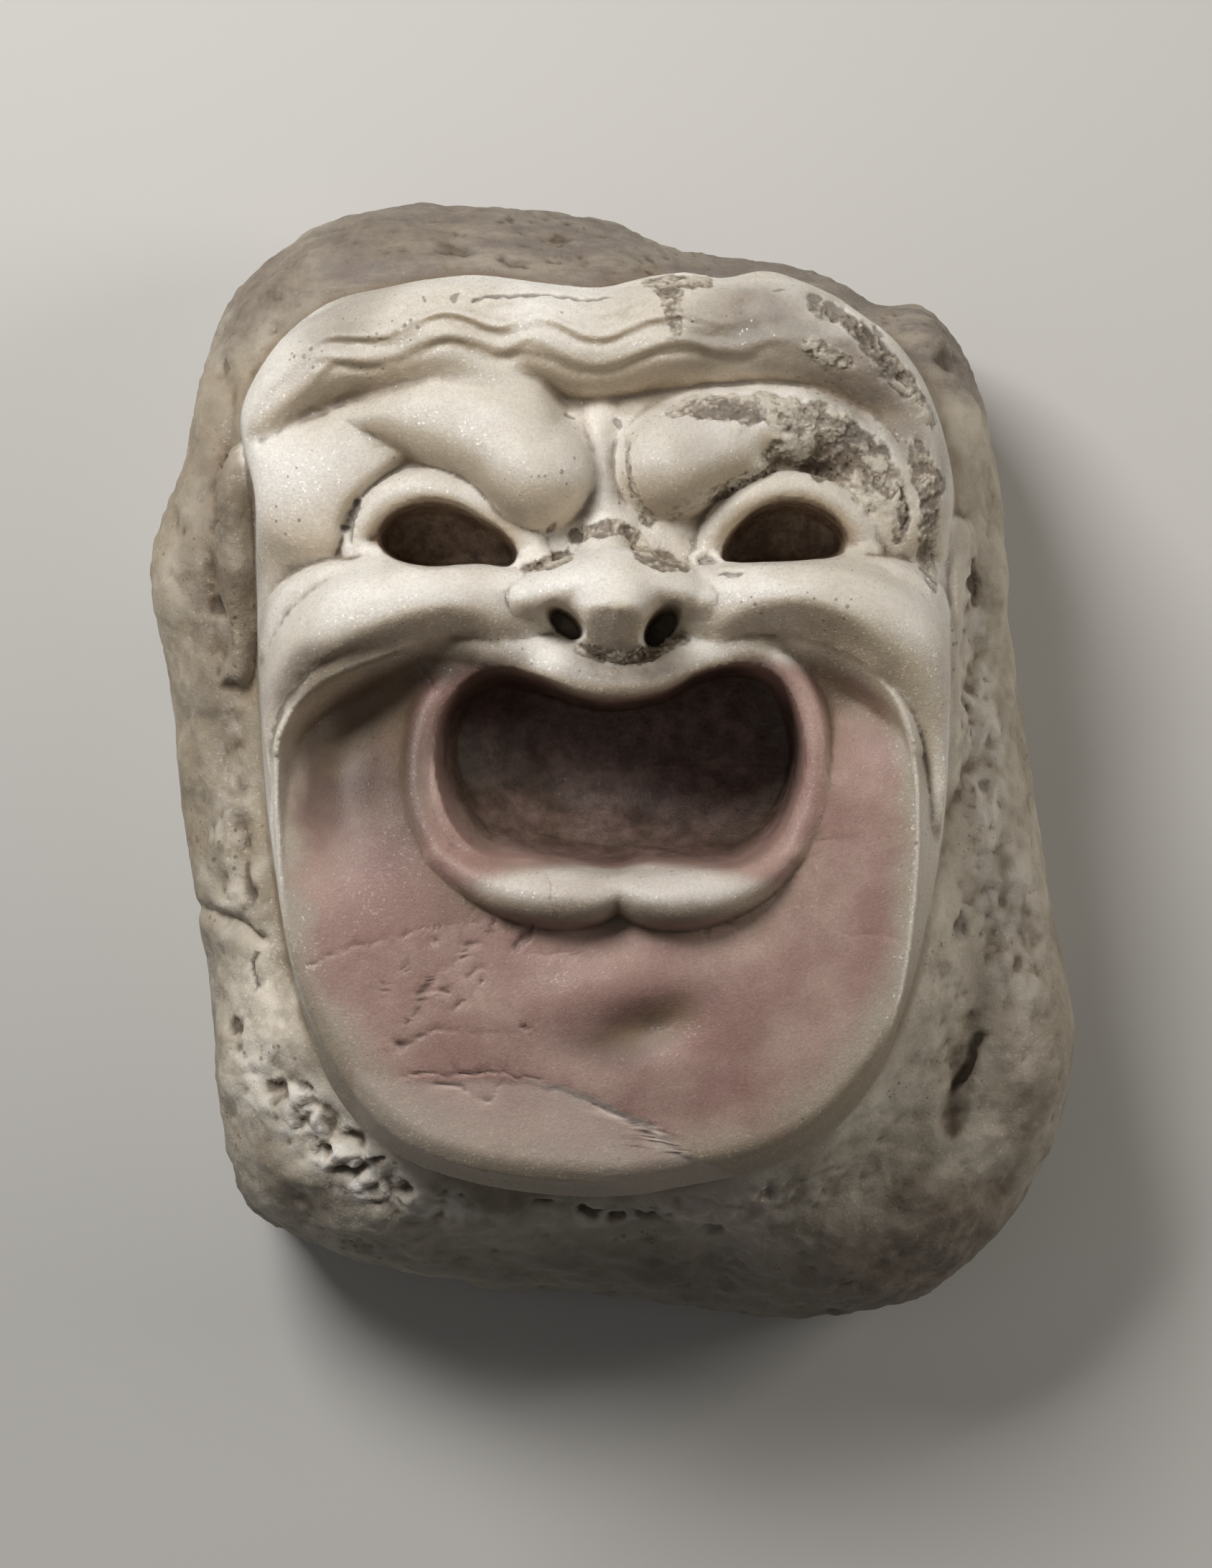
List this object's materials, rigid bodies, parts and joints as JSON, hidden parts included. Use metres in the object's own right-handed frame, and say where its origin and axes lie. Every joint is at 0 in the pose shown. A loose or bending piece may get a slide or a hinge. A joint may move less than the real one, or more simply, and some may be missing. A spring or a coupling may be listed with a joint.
{
  "type": "marble comedy mask",
  "caption": "Grotesque comedy mask with a wide open mouth, carved in relief on a rough marble block with a flat back.",
  "frame": {"origin": "centre of the base of the bounding box, on the flat back the block lies on", "axes": "+Z the way the face looks, away from the flat back; +Y towards the top of the head; +X to the right as the face is seen from the front"},
  "size_m": [0.3632, 0.4424, 0.2216],
  "materials": {
    "white_marble": "weathered carved marble, satin on the face and rough on the block"
  },
  "bodies": {
    "root": {"marble_mask": "white_marble"}
  },
  "joints": []
}
